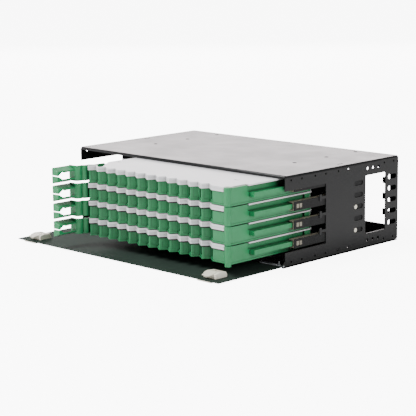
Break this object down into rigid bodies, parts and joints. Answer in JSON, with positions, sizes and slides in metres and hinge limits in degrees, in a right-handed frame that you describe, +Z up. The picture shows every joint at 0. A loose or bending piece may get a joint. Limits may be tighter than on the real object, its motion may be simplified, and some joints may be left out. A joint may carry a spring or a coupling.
{
  "type": "sliding fibre patch drawer",
  "caption": "Rack box of bent steel sheet with sliding moulded fibre trays, angled port fronts, cord clips, slide guides and a fold-down door on sprung pins.",
  "frame": {"origin": "middle of the box's underside", "axes": "+Z up, front towards -Y, +X to the right seen from the front"},
  "size_m": [0.44, 0.4066, 0.132],
  "materials": {
    "black_powder_coat": "satin powder coat",
    "black_matt_paint": "matt powder coat",
    "green_abs": "moulded",
    "white_abs": "moulded",
    "ivory_nylon": "moulded",
    "black_abs": "moulded",
    "zinc_steel": "zinc plated"
  },
  "bodies": {
    "chassis": {"base_pan": "black_powder_coat", "lid": "black_powder_coat", "left_side_panel": "black_powder_coat", "right_side_panel": "black_powder_coat", "rear_panel": "black_powder_coat", "right_guide_bracket": "black_matt_paint", "left_guide_plate": "black_powder_coat", "left_slide_guide_1": "ivory_nylon", "left_slide_guide_2": "ivory_nylon", "left_slide_guide_3": "ivory_nylon", "left_slide_guide_4": "ivory_nylon", "right_slide_guide_1": "ivory_nylon", "right_slide_guide_2": "ivory_nylon", "right_slide_guide_3": "ivory_nylon", "right_slide_guide_4": "ivory_nylon", "floor_rivets": "zinc_steel", "lid_screws": "zinc_steel", "push_rivets": "ivory_nylon"},
    "tray_1": {"tray_1": "green_abs", "tray_cover_1": "white_abs", "splice_holder_1": "black_abs", "fibre_arm_1": "green_abs"},
    "tray_2": {"tray_2": "green_abs", "tray_cover_2": "white_abs", "splice_holder_2": "black_abs", "fibre_arm_2": "green_abs"},
    "tray_3": {"tray_3": "green_abs", "tray_cover_3": "white_abs", "splice_holder_3": "black_abs", "fibre_arm_3": "green_abs"},
    "tray_4": {"tray_4": "green_abs", "tray_cover_4": "white_abs", "splice_holder_4": "black_abs", "fibre_arm_4": "green_abs"},
    "door": {"door_panel": "black_powder_coat", "left_latch_housing": "ivory_nylon", "left_latch_spring": "zinc_steel", "left_hinge_spring": "zinc_steel", "left_hinge_barrel": "zinc_steel", "right_latch_housing": "ivory_nylon", "right_latch_spring": "zinc_steel", "right_hinge_spring": "zinc_steel", "right_hinge_barrel": "zinc_steel"},
    "left_pin": {"left_hinge_pin": "zinc_steel"},
    "left_catch": {"left_latch_slider": "ivory_nylon"},
    "right_pin": {"right_hinge_pin": "zinc_steel"},
    "right_catch": {"right_latch_slider": "ivory_nylon"}
  },
  "joints": [
    {"name": "tray_1_slide", "type": "slide", "parent": "chassis", "child": "tray_1", "axis": [0, 1, 0], "range_m": [0, 0.148]},
    {"name": "tray_2_slide", "type": "slide", "parent": "chassis", "child": "tray_2", "axis": [0, 1, 0], "range_m": [0, 0.148]},
    {"name": "tray_3_slide", "type": "slide", "parent": "chassis", "child": "tray_3", "axis": [0, 1, 0], "range_m": [0, 0.148]},
    {"name": "tray_4_slide", "type": "slide", "parent": "chassis", "child": "tray_4", "axis": [0, 1, 0], "range_m": [0, 0.148]},
    {"name": "door_hinge", "type": "hinge", "parent": "chassis", "child": "door", "pos_m": [0, -0.133, 0.0032], "axis": [-1, 0, 0], "range_deg": [-90, 2]},
    {"name": "left_pin_slide", "type": "slide", "parent": "door", "child": "left_pin", "axis": [1, 0, 0], "range_m": [0, 0.005], "stiffness_N_per_m": 250, "springref_m": -0.004, "deforming": ["left_hinge_spring"]},
    {"name": "right_pin_slide", "type": "slide", "parent": "door", "child": "right_pin", "axis": [-1, 0, 0], "range_m": [0, 0.005], "stiffness_N_per_m": 250, "springref_m": -0.004, "deforming": ["right_hinge_spring"]},
    {"name": "left_catch_slide", "type": "slide", "parent": "door", "child": "left_catch", "axis": [0, 1, 0], "range_m": [0, 0.006], "stiffness_N_per_m": 200, "springref_m": -0.004, "deforming": ["left_latch_spring"]},
    {"name": "right_catch_slide", "type": "slide", "parent": "door", "child": "right_catch", "axis": [0, 1, 0], "range_m": [0, 0.006], "stiffness_N_per_m": 200, "springref_m": -0.004, "deforming": ["right_latch_spring"]}
  ]
}
